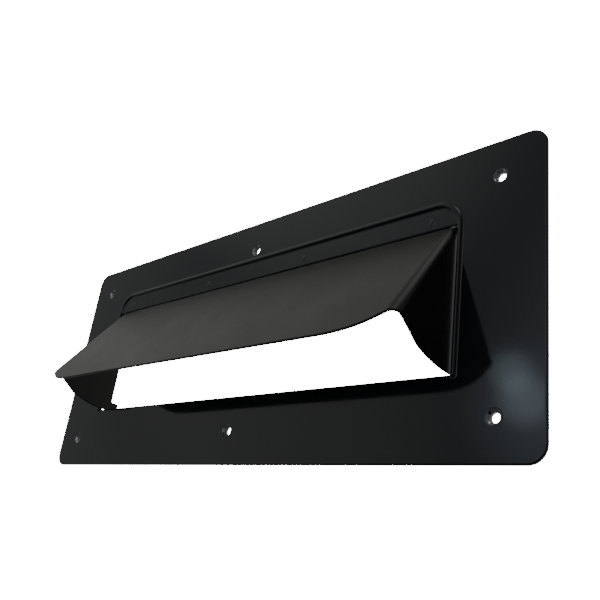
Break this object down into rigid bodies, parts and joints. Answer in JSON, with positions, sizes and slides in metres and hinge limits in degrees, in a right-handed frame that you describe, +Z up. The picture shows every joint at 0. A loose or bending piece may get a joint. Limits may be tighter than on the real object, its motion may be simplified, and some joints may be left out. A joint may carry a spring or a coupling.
{
  "type": "letter plate",
  "caption": "Wide black sheet-steel letter plate with a hinged flap whose side wings swing through the letter opening, dimpled screw holes and a raised rain rim.",
  "frame": {"origin": "centre of the six fixing holes, on the back face of the plate", "axes": "+X to the right seen from the front, +Y into the wall, +Z up; the front faces -Y"},
  "size_m": [0.4, 0.0658, 0.161],
  "materials": {
    "gloss_coat": "gloss black powder-coated steel sheet",
    "satin_coat": "satin black powder-coated steel sheet",
    "rivet_coat": "coated flush rivets",
    "hinge_steel": "zinc-plated rolled steel strip",
    "bright_rod": "drawn stainless rod",
    "spring_steel": "oiled spring steel",
    "cap_steel": "dark-plated pressed steel cap",
    "nylon": "natural nylon",
    "buffer_rubber": "black rubber",
    "foam_seal": "closed-cell foam gasket"
  },
  "bodies": {
    "plate": {"front_plate": "gloss_coat", "rear_gasket": "foam_seal", "hinge_leaf_fixed": "hinge_steel", "hinge_rod": "bright_rod", "leaf_rivets": "rivet_coat", "friction_washer_left": "nylon", "friction_washer_right": "nylon", "disc_spring_left": "spring_steel", "disc_spring_right": "spring_steel", "rod_cap_left": "cap_steel", "rod_cap_right": "cap_steel"},
    "flap": {"flap": "satin_coat", "hinge_leaf_moving": "hinge_steel", "knuckle_bush_1": "nylon", "knuckle_bush_2": "nylon", "knuckle_bush_3": "nylon", "knuckle_bush_4": "nylon", "knuckle_bush_5": "nylon", "stop_sleeve_left": "buffer_rubber", "stop_sleeve_right": "buffer_rubber", "lip_buffer_left": "buffer_rubber", "lip_buffer_right": "buffer_rubber"}
  },
  "joints": [
    {"name": "flap_hinge", "type": "hinge", "parent": "plate", "child": "flap", "pos_m": [0, 0.0014, 0.034], "axis": [-1, 0, 0], "range_deg": [-35.5, 4]}
  ]
}
